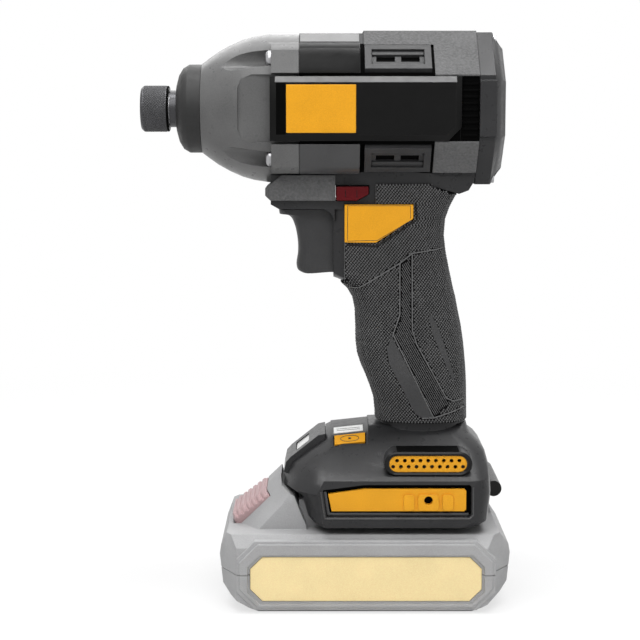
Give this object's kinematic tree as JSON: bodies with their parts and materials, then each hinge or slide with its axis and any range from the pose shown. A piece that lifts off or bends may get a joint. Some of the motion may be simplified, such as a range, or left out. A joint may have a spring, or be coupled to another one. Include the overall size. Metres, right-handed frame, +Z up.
{
  "type": "impact driver",
  "caption": "Cordless pistol-grip impact driver with a quick-release bit socket, a rotary hammer drive and a slide-on battery pack under the foot.",
  "frame": {"origin": "on the plane that the battery pack stands on, under the middle of the pack", "axes": "+X out of the bit socket, +Y to the tool's left, +Z up"},
  "size_m": [0.1447, 0.088, 0.2228],
  "materials": {
    "housing_plastic": "moulded, fine texture",
    "grip_rubber": "moulded rubber with a fine diamond texture",
    "bumper_rubber": "soft, grainy",
    "panel_plastic": "moulded, satin",
    "yellow_plastic": "satin",
    "red_plastic": "satin",
    "case_metal": "dark coated, smooth",
    "bright_steel": "ground",
    "dark_steel": "black oxide",
    "copper": "drawn",
    "board": "satin",
    "inner_plastic": "moulded",
    "white_plastic": "smooth",
    "lens": "clear moulded",
    "pack_plastic": "moulded, fine texture",
    "pack_label": "printed film, bare",
    "pack_button": "moulded",
    "cell_can": "sleeved"
  },
  "bodies": {
    "housing": {"left_housing": "housing_plastic", "right_housing": "housing_plastic", "rear_cap": "housing_plastic", "gear_case": "case_metal", "nose_boot": "grip_rubber", "rear_bumper": "bumper_rubber", "front_bumper": "bumper_rubber", "grip_rubber_left": "grip_rubber", "grip_rubber_right": "grip_rubber", "grip_inlays": "yellow_plastic", "name_plates": "yellow_plastic", "badge_panels": "housing_plastic", "head_vents": "panel_plastic", "foot_vents": "yellow_plastic", "accessory_plates": "yellow_plastic", "belt_hook": "dark_steel", "hook_screw": "bright_steel", "lamp_housing": "housing_plastic", "lamp_lens": "lens", "control_panel": "panel_plastic", "mode_window": "white_plastic", "case_bolts": "bright_steel", "housing_screws": "bright_steel", "trigger_spring": "bright_steel", "trigger_switch": "inner_plastic", "anvil_bush": "bright_steel", "ring_gear": "dark_steel", "carrier_bearing": "bright_steel", "bearing_plate": "case_metal", "motor_bearings": "bright_steel", "stator_core": "dark_steel", "stator_coils": "copper", "sensor_board": "board", "control_module": "board", "terminal_block": "inner_plastic"},
    "mode_button": {"mode_button": "yellow_plastic"},
    "trigger": {"trigger": "panel_plastic"},
    "selector": {"direction_selector": "red_plastic"},
    "anvil": {"anvil": "bright_steel", "detent_balls": "bright_steel", "collet_ring": "bright_steel", "collet_spring": "bright_steel"},
    "collet": {"collet_sleeve": "dark_steel"},
    "carrier": {"cam_carrier": "dark_steel", "planet_pins": "bright_steel", "hammer_spring": "bright_steel", "cam_balls": "bright_steel"},
    "hammer": {"hammer": "dark_steel"},
    "planet_1": {"planet_gear_1": "bright_steel"},
    "planet_2": {"planet_gear_2": "bright_steel"},
    "planet_3": {"planet_gear_3": "bright_steel"},
    "rotor": {"rotor_shaft": "bright_steel", "rotor_core": "dark_steel", "fan": "inner_plastic"},
    "pack": {"pack_base": "pack_plastic", "pack_top": "pack_plastic", "pack_labels": "pack_label", "pack_cells": "cell_can", "pack_terminals": "copper"},
    "release": {"pack_release": "pack_button"}
  },
  "joints": [
    {"name": "trigger_pull", "type": "slide", "parent": "housing", "child": "trigger", "axis": [-1, 0, 0], "range_m": [0, 0.006], "stiffness_N_per_m": 1000, "springref_m": -0.003, "deforming": ["trigger_spring"]},
    {"name": "direction_shift", "type": "slide", "parent": "housing", "child": "selector", "axis": [0, 1, 0], "range_m": [-0.003, 0.003]},
    {"name": "mode_press", "type": "slide", "parent": "housing", "child": "mode_button", "axis": [0, -0.615, -0.7885], "range_m": [0, 0.0006], "stiffness_N_per_m": 2000, "springref_m": -0.0004},
    {"name": "carrier_spin", "type": "hinge", "parent": "housing", "child": "carrier", "pos_m": [0.02, 0, 0.193], "axis": [1, 0, 0], "continuous": true},
    {"name": "rotor_spin", "type": "hinge", "parent": "housing", "child": "rotor", "pos_m": [0.02, 0, 0.193], "axis": [1, 0, 0], "continuous": true},
    {"name": "anvil_spin", "type": "hinge", "parent": "housing", "child": "anvil", "pos_m": [0.02, 0, 0.193], "axis": [1, 0, 0], "continuous": true},
    {"name": "hammer_retract", "type": "slide", "parent": "carrier", "child": "hammer", "axis": [-1, 0, 0], "range_m": [0, 0.006], "stiffness_N_per_m": 8000, "springref_m": -0.006, "deforming": ["hammer_spring"]},
    {"name": "collet_pull", "type": "slide", "parent": "anvil", "child": "collet", "axis": [1, 0, 0], "range_m": [0, 0.004], "stiffness_N_per_m": 2500, "springref_m": -0.002, "deforming": ["collet_spring"]},
    {"name": "pack_slide", "type": "slide", "parent": "housing", "child": "pack", "axis": [1, 0, 0], "range_m": [0, 0.07]},
    {"name": "release_press", "type": "slide", "parent": "pack", "child": "release", "axis": [-0.693, 0, -0.721], "range_m": [0, 0.003], "stiffness_N_per_m": 2000, "springref_m": -0.001},
    {"name": "planet_1_spin", "type": "hinge", "parent": "carrier", "child": "planet_1", "pos_m": [0.02, 0.01125, 0.193], "axis": [1, 0, 0], "continuous": true},
    {"name": "planet_2_spin", "type": "hinge", "parent": "carrier", "child": "planet_2", "pos_m": [0.02, -0.00562, 0.20274], "axis": [1, 0, 0], "continuous": true},
    {"name": "planet_3_spin", "type": "hinge", "parent": "carrier", "child": "planet_3", "pos_m": [0.02, -0.00562, 0.18326], "axis": [1, 0, 0], "continuous": true}
  ],
  "couplings": [
    {"joint": "rotor_spin", "follows": "carrier_spin", "ratio": 6},
    {"joint": "anvil_spin", "follows": "carrier_spin", "ratio": 1},
    {"joint": "planet_1_spin", "follows": "carrier_spin", "ratio": -2.5},
    {"joint": "planet_2_spin", "follows": "carrier_spin", "ratio": -2.5},
    {"joint": "planet_3_spin", "follows": "carrier_spin", "ratio": -2.5}
  ]
}
